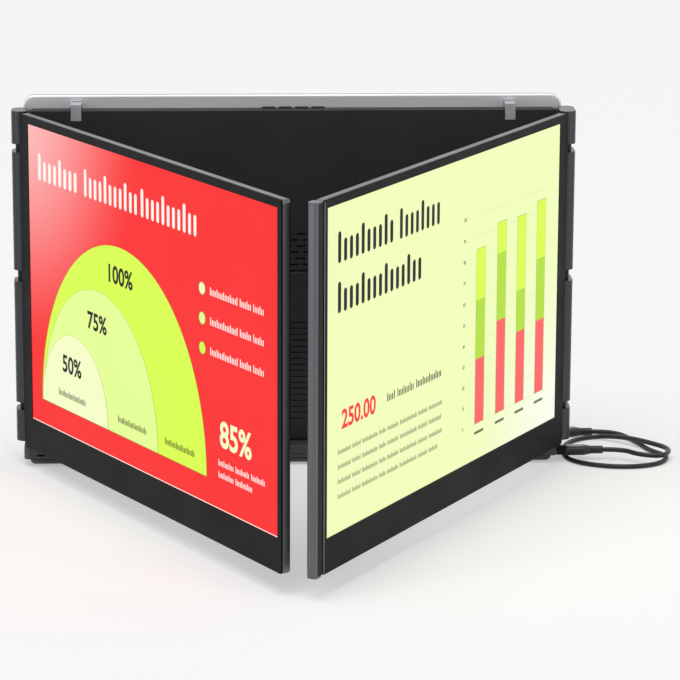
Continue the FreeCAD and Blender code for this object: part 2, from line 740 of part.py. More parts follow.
def plug_body(x, y, z):
    """The plug's moulding, which tapers to a round strain relief."""
    start = x + PLUG_COLLAR
    taper = start + PLUG_BODY - PLUG_TAPER
    body = flat_tube(PLUG_WIDTH, PLUG_HEIGHT, start, taper, y, z)
    end = start + PLUG_BODY
    wide = body.Faces[0]
    for face in body.Faces:
        if face.CenterOfMass.x > wide.CenterOfMass.x:
            wide = face
    small = flat_tube(2 * RELIEF_RADIUS + 1, 2 * RELIEF_RADIUS, end, end + 1, y, z)
    narrow = small.Faces[0]
    for face in small.Faces:
        if face.CenterOfMass.x < narrow.CenterOfMass.x:
            narrow = face
    loft = Part.makeLoft([wide.OuterWire, narrow.OuterWire], True, True)
    relief = bar(RELIEF_RADIUS, end, end + RELIEF_LENGTH, y, z)
    return join([body, loft, relief])


# Cable: straight runs joined by tangent arcs

def route_wire(points):
    corners = [Vector(*point) for point in points]
    edges = []
    start = corners[0]
    least = None
    for before, corner, after in zip(corners, corners[1:], corners[2:]):
        first = before.sub(corner)
        second = after.sub(corner)
        half_turn = (math.pi - first.getAngle(second)) / 2
        trim = ARC_SHARE * min(first.Length, second.Length)
        radius = trim / math.tan(half_turn)
        least = radius if least is None else min(least, radius)
        first.normalize()
        second.normalize()
        arc_in = corner.add(Vector(first).multiply(trim))
        arc_out = corner.add(Vector(second).multiply(trim))
        inward = first.add(second)
        inward.normalize()
        centre = corner.add(Vector(inward).multiply(radius / math.cos(half_turn)))
        middle = centre.sub(Vector(inward).multiply(radius))
        edges.append(Part.makeLine(start, arc_in))
        edges.append(Part.Arc(arc_in, middle, arc_out).toShape())
        start = arc_out
    edges.append(Part.makeLine(start, corners[-1]))
    print("least radius of the cable's arcs: %.1f mm" % least)
    return Part.Wire(edges)


def cable():
    wire = route_wire(CABLE_ROUTE)
    start = Vector(*CABLE_ROUTE[0])
    along = Vector(*CABLE_ROUTE[1]).sub(start)
    section = Part.Wire([Part.makeCircle(CABLE_RADIUS, start, along)])
    tube = wire.makePipeShell([section], True, False)
    expected = math.pi * CABLE_RADIUS ** 2 * wire.Length
    print("cable length %.1f mm, volume %.0f of %.0f mm3" % (wire.Length, tube.Volume, expected))
    return tube


def main():
    os.makedirs("parts", exist_ok=True)
    nodes = {
        "front_panel": front_panel(),
        "rear_cover": rear_cover(),
        "back_plate": back_plate(),
        "main_board": main_board(),
        "bracket_knuckles_left": bracket_knuckles(-1),
        "bracket_knuckles_right": bracket_knuckles(1),
        "foot_rail": foot_rail(),
        "foot_base": foot_base(),
        "foot_pad": foot_pad(),
        "usb_socket": usb_socket(),
        "kickstand": kickstand(),
        "kickstand_pad": kickstand_pad(),
        "kickstand_pin": stand_pin(),
        "lid_clip_left": lid_clip(-CLIP_X),
        "lid_clip_right": lid_clip(CLIP_X),
        "clip_pad_left": clip_pad(-CLIP_X),
        "clip_pad_right": clip_pad(CLIP_X),
        "cable": cable(),
        "seated_plug_tongue": plug_tongue(PLUG_FRONT_X, PLUG_Y, PLUG_Z),
        "seated_plug_collar": plug_collar(PLUG_FRONT_X, PLUG_Y, PLUG_Z),
        "seated_plug": plug_body(PLUG_FRONT_X, PLUG_Y, PLUG_Z),
        "loose_plug_tongue": plug_tongue(LOOSE_PLUG_X, LOOSE_PLUG_Y, LOOSE_PLUG_Z),
        "loose_plug_collar": plug_collar(LOOSE_PLUG_X, LOOSE_PLUG_Y, LOOSE_PLUG_Z),
        "loose_plug": plug_body(LOOSE_PLUG_X, LOOSE_PLUG_Y, LOOSE_PLUG_Z),
    }
    nodes.update(wings())
    nodes.update(spines())
    for name, shape in nodes.items():
        shape.exportStep("parts/" + name + ".step")


main()
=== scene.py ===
import math

import bmesh
import bpy
from bpy.props import FloatProperty, FloatVectorProperty, PointerProperty
from mathutils import Matrix, Vector


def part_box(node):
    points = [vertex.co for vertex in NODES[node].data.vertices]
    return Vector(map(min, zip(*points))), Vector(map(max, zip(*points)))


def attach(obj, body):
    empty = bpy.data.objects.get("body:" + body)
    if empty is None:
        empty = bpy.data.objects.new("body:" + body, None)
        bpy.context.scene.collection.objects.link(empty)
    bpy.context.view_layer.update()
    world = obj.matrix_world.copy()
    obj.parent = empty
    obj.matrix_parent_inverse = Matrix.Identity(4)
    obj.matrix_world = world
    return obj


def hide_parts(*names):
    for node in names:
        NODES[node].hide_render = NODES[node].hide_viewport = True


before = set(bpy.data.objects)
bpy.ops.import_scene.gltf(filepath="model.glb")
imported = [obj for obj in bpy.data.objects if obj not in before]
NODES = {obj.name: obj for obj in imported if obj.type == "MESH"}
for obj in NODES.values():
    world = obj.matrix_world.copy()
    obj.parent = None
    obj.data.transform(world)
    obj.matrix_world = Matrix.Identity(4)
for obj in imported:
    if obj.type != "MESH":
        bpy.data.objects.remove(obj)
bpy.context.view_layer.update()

bl_info = {
    "name": "Laptop screen extender",
    "version": (1, 0, 0),
    "blender": (4, 5, 0),
    "location": "View3D > Sidebar > Extender",
    "description": "Finishes, lit pictures, cable and studio for a two-winged screen extender",
    "category": "Object",
}

MM = 0.001

# Nearly all values of a noise lie between these
NOISE_LOW = 0.3
NOISE_HIGH = 0.7


# Colour and node helpers

def linear(hex_colour):
    """An sRGB hex colour as the linear colour that the nodes use."""
    channels = [int(hex_colour[place:place + 2], 16) / 255 for place in (1, 3, 5)]
    return tuple(c / 12.92 if c <= 0.04045 else ((c + 0.055) / 1.055) ** 2.4 for c in channels)


def add(tree, kind, inputs=None, links=None, **settings):
    """Adds a node with its settings, its own values and what is linked into it."""
    node = tree.nodes.new(kind)
    for name, value in settings.items():
        setattr(node, name, value)
    for name, value in (inputs or {}).items():
        node.inputs[name].default_value = value
    for name, socket in (links or {}).items():
        tree.links.new(socket, node.inputs[name])
    return node


def opaque(colour):
    """A colour with full alpha."""
    return (colour[0], colour[1], colour[2], 1.0)


def shade(colour, factor):
    """A colour made lighter or darker."""
    return tuple(min(1.0, channel * factor) for channel in colour)


def start_material(name):
    """A new material, its tree, its shader and the object's own coordinates in metres."""
    material = bpy.data.materials.new(name)
    material.use_nodes = True
    tree = material.node_tree
    shader = tree.nodes["Principled BSDF"]
    place = add(tree, "ShaderNodeTexCoord")
    return material, tree, shader, place.outputs["Object"]


def per_metre(size_mm):
    """The scale at which a noise or wave has features of this size."""
    return 1.0 / (size_mm * MM)


def mottle(tree, shader, place, colour, patch_mm, spread):
    """Varies the base colour a little in soft patches."""
    noise = add(tree, "ShaderNodeTexNoise", {"Scale": per_metre(patch_mm), "Detail": 3.0},
                {"Vector": place})
    ramp = add(tree, "ShaderNodeValToRGB", links={"Fac": noise.outputs["Fac"]})
    ramp.color_ramp.elements[0].position = NOISE_LOW
    ramp.color_ramp.elements[0].color = opaque(shade(colour, 1 - spread))
    ramp.color_ramp.elements[1].position = NOISE_HIGH
    ramp.color_ramp.elements[1].color = opaque(shade(colour, 1 + spread))
    tree.links.new(ramp.outputs["Color"], shader.inputs["Base Color"])


def uneven_gloss(tree, shader, place, low, high, patch_mm):
    """Varies the roughness between two values, as handling does."""
    noise = add(tree, "ShaderNodeTexNoise", {"Scale": per_metre(patch_mm), "Detail": 4.0},
                {"Vector": place})
    span = add(tree, "ShaderNodeMapRange",
               {"From Min": NOISE_LOW, "From Max": NOISE_HIGH, "To Min": low, "To Max": high},
               {"Value": noise.outputs["Fac"]})
    tree.links.new(span.outputs["Result"], shader.inputs["Roughness"])


def dull_sheen(shader, ior, share):
    """Sets a plastic's index, and how much of its sheen the pits of its surface leave."""
    shader.inputs["IOR"].default_value = ior
    shader.inputs["Specular IOR Level"].default_value = share


def grain(tree, shader, place, size_mm, depth_mm):
    """Raises a fine grain on the surface."""
    noise = add(tree, "ShaderNodeTexNoise", {"Scale": per_metre(size_mm), "Detail": 2.0},
                {"Vector": place})
    bump = add(tree, "ShaderNodeBump", {"Strength": 1.0, "Distance": depth_mm * MM},
               {"Height": noise.outputs["Fac"]})
    tree.links.new(bump.outputs["Normal"], shader.inputs["Normal"])


# Materials, each named for what it is and how its surface was made

def spark_eroded_abs(colour):
    """Black ABS from a spark-eroded mould: dull, with an even grain.

    The real grain is 0.1 mm; it is drawn at 0.6 mm so that it shows.
    """
    material, tree, shader, place = start_material("spark eroded black ABS")
    mottle(tree, shader, place, colour, patch_mm=60, spread=0.10)
    uneven_gloss(tree, shader, place, low=0.50, high=0.62, patch_mm=45)
    grain(tree, shader, place, size_mm=0.6, depth_mm=0.05)
    dull_sheen(shader, ior=1.53, share=0.2)
    return material


def satin_abs(name, colour, low, high, sheen):
    """ABS from a polished mould that was lightly vapour blasted: satin, with soft highlights.

    The blasted texture is 0.05 mm; it is drawn at 0.4 mm so that it shows.
    """
    material, tree, shader, place = start_material(name)
    mottle(tree, shader, place, colour, patch_mm=40, spread=0.05)
    uneven_gloss(tree, shader, place, low, high, patch_mm=30)
    grain(tree, shader, place, size_mm=0.4, depth_mm=0.01)
    dull_sheen(shader, ior=1.53, share=sheen)
    return material


def bead_blasted_aluminium(name, colour, low, high, metal=1.0):
    """Aluminium blasted with fine beads and anodised: a soft metal with no streaks.

    The beads leave pits of 0.15 mm; they are drawn at 0.5 mm so that they show.
    A thick clear oxide scatters light, which a metal share below one stands for.
    """
    material, tree, shader, place = start_material(name)
    mottle(tree, shader, place, colour, patch_mm=80, spread=0.012)
    uneven_gloss(tree, shader, place, low, high, patch_mm=60)
    grain(tree, shader, place, size_mm=0.5, depth_mm=0.02)
    shader.inputs["Metallic"].default_value = metal
    return material


def blackened_steel():
    """Hinge steel blackened in a salt bath: dark, a little oily, with fine turning marks.

    The marks are 0.1 mm apart; they are drawn at 0.9 mm so that they show.
    """
    material, tree, shader, place = start_material("blackened hinge steel")
    mottle(tree, shader, place, linear("#2A2B2D"), patch_mm=12, spread=0.15)
    uneven_gloss(tree, shader, place, low=0.30, high=0.42, patch_mm=8)
    rings = add(tree, "ShaderNodeTexWave", {"Scale": per_metre(size_mm=0.9), "Distortion": 0.4},
                {"Vector": place}, wave_type="BANDS", bands_direction="Z")
    bump = add(tree, "ShaderNodeBump", {"Strength": 0.4, "Distance": 0.02 * MM},
               {"Height": rings.outputs["Fac"]})
    tree.links.new(bump.outputs["Normal"], shader.inputs["Normal"])
    shader.inputs["Metallic"].default_value = 1.0
    return material


def ground_steel():
    """Pins and connector shells of ground and nickel-plated steel: bright and smooth.

    The grinding marks are 0.02 mm; they are drawn at 0.3 mm so that they show.
    """
    material, tree, shader, place = start_material("ground nickel plated steel")
    mottle(tree, shader, place, linear("#B9BABD"), patch_mm=6, spread=0.05)
    uneven_gloss(tree, shader, place, low=0.20, high=0.30, patch_mm=5)
    grain(tree, shader, place, size_mm=0.3, depth_mm=0.004)
    shader.inputs["Metallic"].default_value = 1.0
    return material


def moulded_rubber(name, colour):
    """Rubber pads pressed in a mould: dull, slightly dusty, with a pebble of 0.8 mm."""
    material, tree, shader, place = start_material(name)
    mottle(tree, shader, place, colour, patch_mm=15, spread=0.18)
    uneven_gloss(tree, shader, place, low=0.75, high=0.9, patch_mm=12)
    grain(tree, shader, place, size_mm=0.8, depth_mm=0.06)
    dull_sheen(shader, ior=1.52, share=0.25)
    return material


def cable_jacket(colour):
    """A cable jacket of extruded TPE: smooth black with a long soft highlight.

    Its matte texture is 0.1 mm; it is drawn at 0.7 mm so that it shows.
    """
    material, tree, shader, place = start_material("extruded TPE cable jacket")
    mottle(tree, shader, place, colour, patch_mm=20, spread=0.12)
    uneven_gloss(tree, shader, place, low=0.34, high=0.46, patch_mm=18)
    grain(tree, shader, place, size_mm=0.7, depth_mm=0.015)
    dull_sheen(shader, ior=1.5, share=0.5)
    return material


def frosted_clip():
    """Clips moulded in frosted polycarbonate: cloudy grey that lets some light through.

    The frosting is 0.05 mm; it is drawn at 0.4 mm so that it shows.
    """
    material, tree, shader, place = start_material("frosted grey polycarbonate")
    mottle(tree, shader, place, linear("#B6B8BB"), patch_mm=5, spread=0.06)
    uneven_gloss(tree, shader, place, low=0.38, high=0.5, patch_mm=6)
    grain(tree, shader, place, size_mm=0.4, depth_mm=0.015)
    shader.inputs["IOR"].default_value = 1.58
    shader.inputs["Subsurface Weight"].default_value = 0.25
    shader.inputs["Subsurface Radius"].default_value = (2 * MM, 2 * MM, 2 * MM)
    return material


def solder_mask():
    """A circuit board under green solder mask, with copper tracks that show as raised lines."""
    material, tree, shader, place = start_material("green solder mask over copper")
    tracks = add(tree, "ShaderNodeTexBrick",
                 {"Scale": per_metre(size_mm=9.0), "Mortar Size": 0.03, "Color1": opaque(linear("#0F4A25")),
                  "Color2": opaque(linear("#12552B")), "Mortar": opaque(linear("#2E7A45"))},
                 {"Vector": place})
    tree.links.new(tracks.outputs["Color"], shader.inputs["Base Color"])
    bump = add(tree, "ShaderNodeBump", {"Strength": 0.5, "Distance": 0.03 * MM},
               {"Height": tracks.outputs["Fac"]})
    tree.links.new(bump.outputs["Normal"], shader.inputs["Normal"])
    shader.inputs["Roughness"].default_value = 0.35
    return material


def backlight_film():
    """The white diffuser film on the back of a display: milky and satin.

    The film's beads are 0.05 mm; they are drawn at 0.5 mm so that they show.
    """
    material, tree, shader, place = start_material("white diffuser film")
    mottle(tree, shader, place, linear("#E6E6E2"), patch_mm=25, spread=0.02)
    uneven_gloss(tree, shader, place, low=0.4, high=0.5, patch_mm=20)
    grain(tree, shader, place, size_mm=0.5, depth_mm=0.01)
    return material


def lit_surface(name):
    """A display's front: dark glass under a matte anti-reflection coat, which lights itself.

    The coat's grain is 0.05 mm; it is drawn at 0.3 mm so that it shows.
    """
    material, tree, shader, place = start_material(name)
    shader.inputs["Emission Strength"].default_value = 0.96
    shader.inputs["Base Color"].default_value = opaque(linear("#0A0A0B"))
    uneven_gloss(tree, shader, place, low=0.42, high=0.5, patch_mm=60)
    grain(tree, shader, place, size_mm=0.3, depth_mm=0.003)
    dull_sheen(shader, ior=1.5, share=0.12)
    return material, tree, shader, place


def lit_ground(name, ground, glow, source, reach):
    """The ground of a displayed picture, with a paler glow round one place."""
    material, tree, shader, place = lit_surface(name)
    far = add(tree, "ShaderNodeVectorMath", {1: source}, {0: place}, operation="DISTANCE")
    spread = add(tree, "ShaderNodeMapRange",
                 {"From Min": 0.0, "From Max": reach, "To Min": 1.0, "To Max": 0.0},
                 {"Value": far.outputs["Value"]}, interpolation_type="SMOOTHSTEP")
    light = add(tree, "ShaderNodeValToRGB", links={"Fac": spread.outputs["Result"]})
    light.color_ramp.elements[0].color = opaque(ground)
    light.color_ramp.elements[1].color = opaque(glow)
    tree.links.new(light.outputs["Color"], shader.inputs["Emission Color"])
    return material


def lit_ink(name, colour):
    """One flat colour of a displayed picture."""
    material, tree, shader, place = lit_surface(name)
    shader.inputs["Emission Color"].default_value = opaque(colour)
    return material


def studio_paper(colour, glow):
    """The studio floor: matte paper with a pale glow that only the eye and reflections see.

    The paper's own share still takes the object's shadow.
    """
    material = bpy.data.materials.new("pale studio paper")
    material.use_nodes = True
    tree = material.node_tree
    tree.nodes.clear()
    paper = add(tree, "ShaderNodeBsdfDiffuse", {"Color": opaque(colour), "Roughness": 0.5})
    seen_paper = add(tree, "ShaderNodeBsdfDiffuse",
                     {"Color": opaque(shade(colour, 1 - glow)), "Roughness": 0.5})
    lift = add(tree, "ShaderNodeEmission", {"Color": opaque(colour), "Strength": glow})
    seen = add(tree, "ShaderNodeAddShader", links={0: seen_paper.outputs[0], 1: lift.outputs[0]})
    mixed = add(tree, "ShaderNodeMixShader",
                links={0: seen_rays(tree), 1: paper.outputs[0], 2: seen.outputs[0]})
    add(tree, "ShaderNodeOutputMaterial", links={"Surface": mixed.outputs[0]})
    return material


def seen_rays(tree):
    """One for a ray that shows the surface to the eye, straight or by a reflection."""
    rays = add(tree, "ShaderNodeLightPath")
    straight = add(tree, "ShaderNodeMath", operation="MAXIMUM",
                   links={0: rays.outputs["Is Camera Ray"], 1: rays.outputs["Is Transmission Ray"]})
    either = add(tree, "ShaderNodeMath", operation="MAXIMUM",
                 links={0: straight.outputs[0], 1: rays.outputs["Is Glossy Ray"]})
    return either.outputs[0]


def paint(names, material):
    """Gives CAD nodes a material."""
    for name in names:
        for slot in NODES[name].material_slots:
            slot.material = material


def both(*names):
    """The left and right node of each name."""
    return [name + "_" + side for name in names for side in ("left", "right")]


def mesh_object(name, shape, materials):
    """Makes a mesh that was built in code one object with its materials."""
    mesh = bpy.data.meshes.new(name)
    shape.to_mesh(mesh)
    shape.free()
    for material in materials:
        mesh.materials.append(material)
    made = bpy.data.objects.new(name, mesh)
    bpy.context.scene.collection.objects.link(made)
    return made


# Settings that a user would change

class FinishSettings(bpy.types.PropertyGroup):
    panel: FloatVectorProperty(
        name="Panel", description="Moulded black plastic of the bracket and kickstand",
        subtype="COLOR", size=3, min=0.0, max=1.0, default=linear("#343537"))
    bezel: FloatVectorProperty(
        name="Bezel", description="Satin black frame round each display",
        subtype="COLOR", size=3, min=0.0, max=1.0, default=linear("#0E0F11"))
    wing: FloatVectorProperty(
        name="Wing", description="Dark anodised aluminium of the wings' shells and grip",
        subtype="COLOR", size=3, min=0.0, max=1.0, default=linear("#6A6C6F"))
    spine: FloatVectorProperty(
        name="Spine", description="Dark anodised aluminium of the hinge columns",
        subtype="COLOR", size=3, min=0.0, max=1.0, default=linear("#484A4D"))
    plate: FloatVectorProperty(
        name="Plate", description="Silver anodised aluminium of the back plate",
        subtype="COLOR", size=3, min=0.0, max=1.0, default=linear("#EEEFF1"))
    foot: FloatVectorProperty(
        name="Foot", description="Satin grey of the foot",
        subtype="COLOR", size=3, min=0.0, max=1.0, default=linear("#3E4043"))
    rubber: FloatVectorProperty(
        name="Rubber", description="Pads under the foot, on the kickstand and in the clips",
        subtype="COLOR", size=3, min=0.0, max=1.0, default=linear("#1E1E1F"))


class ScreenSettings(bpy.types.PropertyGroup):
    left_ground: FloatVectorProperty(
        name="Left ground", description="Ground colour of the left picture",
        subtype="COLOR", size=3, min=0.0, max=1.0, default=linear("#FD2626"))
    left_glow: FloatVectorProperty(
        name="Left glow", description="Paler colour in the left picture's upper corner",
        subtype="COLOR", size=3, min=0.0, max=1.0, default=linear("#FFC4C4"))
    right_ground: FloatVectorProperty(
        name="Right ground", description="Ground colour of the right picture",
        subtype="COLOR", size=3, min=0.0, max=1.0, default=linear("#F2FFBC"))
    right_glow: FloatVectorProperty(
        name="Right glow", description="Paler colour in the right picture's lower corner",
        subtype="COLOR", size=3, min=0.0, max=1.0, default=linear("#FCFFF2"))
    lime: FloatVectorProperty(
        name="Lime", description="Strongest lime of the charts",
        subtype="COLOR", size=3, min=0.0, max=1.0, default=linear("#DBFF4C"))
    green: FloatVectorProperty(
        name="Green", description="Middle green of the bars",
        subtype="COLOR", size=3, min=0.0, max=1.0, default=linear("#B4E23A"))
    coral: FloatVectorProperty(
        name="Coral", description="Red of the bars",
        subtype="COLOR", size=3, min=0.0, max=1.0, default=linear("#FF6464"))
    ink_lift: FloatProperty(
        name="Ink lift", description="How far each layer of the picture stands before the one below",
        subtype="DISTANCE", unit="LENGTH", min=0.00001, max=0.0001, default=0.03 * MM)


class CordSettings(bpy.types.PropertyGroup):
    diameter: FloatProperty(
        name="Diameter", description="Outer diameter of the USB-C cable",
        subtype="DISTANCE", unit="LENGTH", min=0.002, max=0.006, default=3.6 * MM)
    jacket: FloatVectorProperty(
        name="Jacket", description="Colour of the cable's jacket",
        subtype="COLOR", size=3, min=0.0, max=1.0, default=linear("#131415"))
    # The lighter plates on the plugs' tops are a painted highlight of their flat upper faces
    pad: FloatVectorProperty(
        name="Pad", description="Colour of the thumb pads on the plugs",
        subtype="COLOR", size=3, min=0.0, max=1.0, default=linear("#8E9093"))
    moulding: FloatVectorProperty(
        name="Moulding", description="Colour of the plugs' mouldings",
        subtype="COLOR", size=3, min=0.0, max=1.0, default=linear("#222325"))


class StageSettings(bpy.types.PropertyGroup):
    ground: FloatVectorProperty(
        name="Ground", description="Colour that the camera sees behind and below the object",
        subtype="COLOR", size=3, min=0.0, max=1.0, default=linear("#F7F7F7"))
    room: FloatVectorProperty(
        name="Room", description="Tone of the studio on the camera's side, seen in metal",
        subtype="COLOR", size=3, min=0.0, max=1.0, default=linear("#A2A2A4"))
    fill: FloatProperty(
        name="Fill", description="Strength of the soft light from all round",
        subtype="FACTOR", min=0.0, max=1.0, default=0.42)
    overhead: FloatProperty(
        name="Overhead", description="Strength of the wide lamp from above",
        min=0.0, max=10.0, default=1.75)
    strips: FloatProperty(
        name="Strips", description="Power of the narrow lamps that draw lines on round metal edges",
        subtype="POWER", unit="POWER", min=0.0, max=50.0, default=3.5)
    spread: FloatProperty(
        name="Spread", description="How wide the overhead lamp is",
        subtype="ANGLE", unit="ROTATION", default=math.radians(50))
    floor_glow: FloatProperty(
        name="Floor glow", description="Share of the floor's tone that takes no shadow",
        subtype="FACTOR", min=0.0, max=0.9, default=0.42)
    lens: FloatProperty(
        name="Lens", description="Focal length on a 36 mm sensor",
        subtype="DISTANCE_CAMERA", min=20.0, max=400.0, default=183.0)
    pitch: FloatProperty(
        name="Pitch", description="How far the camera looks down",
        subtype="ANGLE", unit="ROTATION", default=math.radians(13.68))
    yaw: FloatProperty(
        name="Yaw", description="How far the camera looks to the right of straight ahead",
        subtype="ANGLE", unit="ROTATION", default=math.radians(2.56))
    roll: FloatProperty(
        name="Roll", description="How far the camera is turned about its own line of sight",
        subtype="ANGLE", unit="ROTATION", default=math.radians(0.25))
    eye: FloatVectorProperty(
        name="Eye", description="Where the camera stands",
        subtype="TRANSLATION", unit="LENGTH", size=3, default=(-0.0752, -2.4404, 0.6838))


# Bracket

# The back plate's upper corners, and the dark line round its rear edge, which is painted shade of that edge
PLATE_CORNER = 8.5 * MM
EDGE_SHADE_RADIUS = 0.8 * MM
EDGE_SHADE_DROP = 0.05 * MM
EDGE_SHADE_PROUD = 0.3 * MM
CORNER_STEPS = 10

# The slots in the rear cover's upper edge, and the dark blocks that stand in them as painted shade of the
# slots
SLOT_COUNT = 4
SLOT_PITCH = 11.8 * MM
SLOT_INSET = 3.0 * MM
SLOT_SHADE_SIZE = (9.6 * MM, 2.6 * MM, 2.0 * MM)
SLOT_SHADE_RISE = 0.2 * MM
SLOT_SHADE_ROUND = 0.3 * MM


def plate_edge_shade_line(material):
    """A dark line that runs round the back plate's rear edge: painted shade of that edge."""
    low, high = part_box("back_plate")
    left = low[0] + EDGE_SHADE_RADIUS
    right = high[0] - EDGE_SHADE_RADIUS
    top = high[2] - EDGE_SHADE_RADIUS - EDGE_SHADE_DROP
    bend = PLATE_CORNER - EDGE_SHADE_RADIUS
    path = [(left, low[2])]
    for centre, start in ((left + bend, 180), (right - bend, 90)):
        for step in range(CORNER_STEPS + 1):
            angle = math.radians(start - 90 * step / CORNER_STEPS)
            path.append((centre + bend * math.cos(angle), top - bend + bend * math.sin(angle)))
    path.append((right, low[2]))
    curve = bpy.data.curves.new("plate_edge_shade_line", "CURVE")
    curve.dimensions = "3D"
    spline = curve.splines.new("POLY")
    spline.points.add(len(path) - 1)
    for point, (x, z) in zip(spline.points, path):
        point.co = (x, high[1] + EDGE_SHADE_PROUD, z, 1.0)
    curve.bevel_depth = EDGE_SHADE_RADIUS
    curve.bevel_resolution = 3
    curve.use_fill_caps = True
    curve.materials.append(material)
    line = bpy.data.objects.new("plate_edge_shade_line", curve)
    bpy.context.scene.collection.objects.link(line)
    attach(line, "bracket")


def slot_shade_blocks(material):
    """Dark blocks in the slots of the rear cover's upper edge: painted shade of the slots."""
    low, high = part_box("rear_cover")
    shape = bmesh.new()
    for index in range(SLOT_COUNT):
        middle = ((index - (SLOT_COUNT - 1) / 2) * SLOT_PITCH, high[1] - SLOT_INSET, high[2] + SLOT_SHADE_RISE)
        shade_block = bmesh.ops.create_cube(shape, size=1.0)["verts"]
        bmesh.ops.scale(shape, vec=SLOT_SHADE_SIZE, verts=shade_block)
        bmesh.ops.translate(shape, vec=middle, verts=shade_block)
    bmesh.ops.bevel(shape, geom=shape.edges[:], offset=SLOT_SHADE_ROUND, segments=3, affect="EDGES")
    slot_shade = mesh_object("slot_shade_blocks", shape, [material])
    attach(slot_shade, "bracket")


class EXTENDER_OT_bracket(bpy.types.Operator):
    """Finish the bracket, its back plate, foot, kickstand and clips"""
    bl_idname = "extender.bracket"
    bl_label = "Bracket finishes"

    def execute(self, context):
        finish = context.scene.extender_finish
        panel = spark_eroded_abs(finish.panel)
        paint(["front_panel", "rear_cover", "kickstand"], panel)
        # A dark line along the back plate's rear edge, drawn as painted shade of that edge
        plate_edge_shade_line(panel)
        # Dark blocks in the rear cover's slots, drawn as painted shade of the slots
        slot_shade_blocks(panel)
        silver = bead_blasted_aluminium("silver bead blasted aluminium", finish.plate,
                                        low=0.42, high=0.5, metal=0.4)
        paint(["back_plate"], silver)
        grey = satin_abs("satin grey ABS", finish.foot, low=0.36, high=0.46, sheen=0.4)
        paint(["foot_rail", "foot_base"], grey)
        rubber = moulded_rubber("moulded pad rubber", finish.rubber)
        paint(["foot_pad", "kickstand_pad"] + both("clip_pad"), rubber)
        paint(both("lid_clip"), frosted_clip())
        paint(["main_board"], solder_mask())
        return {"FINISHED"}


# Hinges

class EXTENDER_OT_hinges(bpy.types.Operator):
    """Finish the two-axis spines, their caps, knuckles and pins"""
    bl_idname = "extender.hinges"
    bl_label = "Hinge finishes"

    def execute(self, context):
        finish = context.scene.extender_finish
        column = bead_blasted_aluminium("dark anodised spine aluminium", finish.spine, low=0.24, high=0.32)
        paint(both("spine", "spine_caps"), column)
        paint(both("bracket_knuckles", "wing_knuckles"), blackened_steel())
        paint(both("bracket_pin", "wing_pin") + ["kickstand_pin", "usb_socket"], ground_steel())
        return {"FINISHED"}


# Wings

class EXTENDER_OT_wings(bpy.types.Operator):
    """Finish the wings' shells, bezels, buttons and inner layers"""
    bl_idname = "extender.wings"
    bl_label = "Wing finishes"

    def execute(self, context):
        finish = context.scene.extender_finish
        shell = bead_blasted_aluminium("dark bead blasted aluminium", finish.wing, low=0.28, high=0.36)
        paint(both("back_shell") + ["end_grip_right"], shell)
        bezel = satin_abs("satin black bezel ABS", finish.bezel, low=0.38, high=0.48, sheen=0.08)
        paint(both("front_bezel"), bezel)
        button = satin_abs("satin button ABS", finish.foot, low=0.3, high=0.4, sheen=0.4)
        paint(both("power_button", "menu_button"), button)
        paint(both("driver_board"), solder_mask())
        paint(both("backlight"), backlight_film())
        return {"FINISHED"}


# Lit pictures and flat trim on the display side, in mm from a lit area's upper left corner

# How many short sides make up half an ellipse, a disc and a quarter of a bar's round end
HALF_DISC_STEPS = 64
DISC_STEPS = 32
PILL_STEPS = 4

# A word's strokes, gaps and how much lower its short strokes are, as shares of its height
STROKE_SHARE = 0.2
GAP_SHARE = 0.18
SHORT_SHARE = 0.26
TALL_EVERY = 4

# How much bolder than the font a number is drawn, as a share of its size
NUMBER_BOLD = 0.026
NUMBER_SMOOTH = 4

# Left picture: half discs on one base line, with a share and a word on each
BASE_LINE = 196.8
RIM = 0.5
RIM_BELOW = 0.4
HALF_DISCS = ({"x": 134.5, "across": 118.2, "tall": 132.0}, {"x": 102.6, "across": 84.0, "tall": 95.4},
              {"x": 66.2, "across": 49.2, "tall": 55.6})
SHARES = ({"text": "100%", "x": 134.5, "y": 84.5}, {"text": "75%", "x": 100.8, "y": 123.8},
          {"text": "50%", "x": 62.2, "y": 163.0})
SHARE_HEIGHT = 13.0
DISC_WORDS = {"spans": ((42.2, 82.2), (130.5, 170.5), (197.0, 237.0)), "top": 182.6, "height": 5.0}
LEFT_HEADING = {"spans": ((14.6, 73.0), (84.0, 160.0), (165.5, 241.0)), "top": 18.0, "height": 19.5}

# Left picture: a key of three discs with words, then one large share with two lines of words
KEY_X = 248.0
KEY_TOP = 70.2
KEY_PITCH = 20.0
KEY_RADIUS = 4.0
KEY_SPANS = ((258.5, 294.0), (297.0, 311.0), (314.0, 327.0))
KEY_HEIGHT = 5.6
LARGE_SHARE = {"text": "85%", "x": 291.0, "y": 163.0, "height": 18.5}
SHARE_WORDS = ({"spans": ((268.6, 288.0), (291.0, 308.0), (311.0, 328.0)), "top": 180.5, "height": 4.6},
               {"spans": ((268.6, 288.0), (291.0, 312.0)), "top": 188.6, "height": 4.6})
LAST_LINE = (0.2, 214.2, 343.9, 214.8)

# Right picture: a heading, an amount and four lines of small words
RIGHT_HEADING = ({"spans": ((14.0, 89.0), (98.5, 156.0)), "top": 17.5, "height": 20.5},
                 {"spans": ((14.0, 129.5),), "top": 50.0, "height": 20.5})
AMOUNT = {"text": "250.00", "x": 43.0, "y": 141.0, "height": 13.0}
AMOUNT_WORDS = {"spans": ((82.5, 93.0), (97.0, 120.0), (124.0, 160.5)), "top": 137.6, "height": 6.0}
LINE_START = 15.0
LINE_ENDS = (163.5, 161.0, 163.5, 156.0)
LINE_TOP = 159.8
LINE_PITCH = 9.8
LINE_HEIGHT = 3.6
WORD_LENGTHS = (17, 11, 21, 9, 15, 24, 13, 19, 12, 17, 10)
WORD_GAP = 2.6
LEAST_WORD = 4

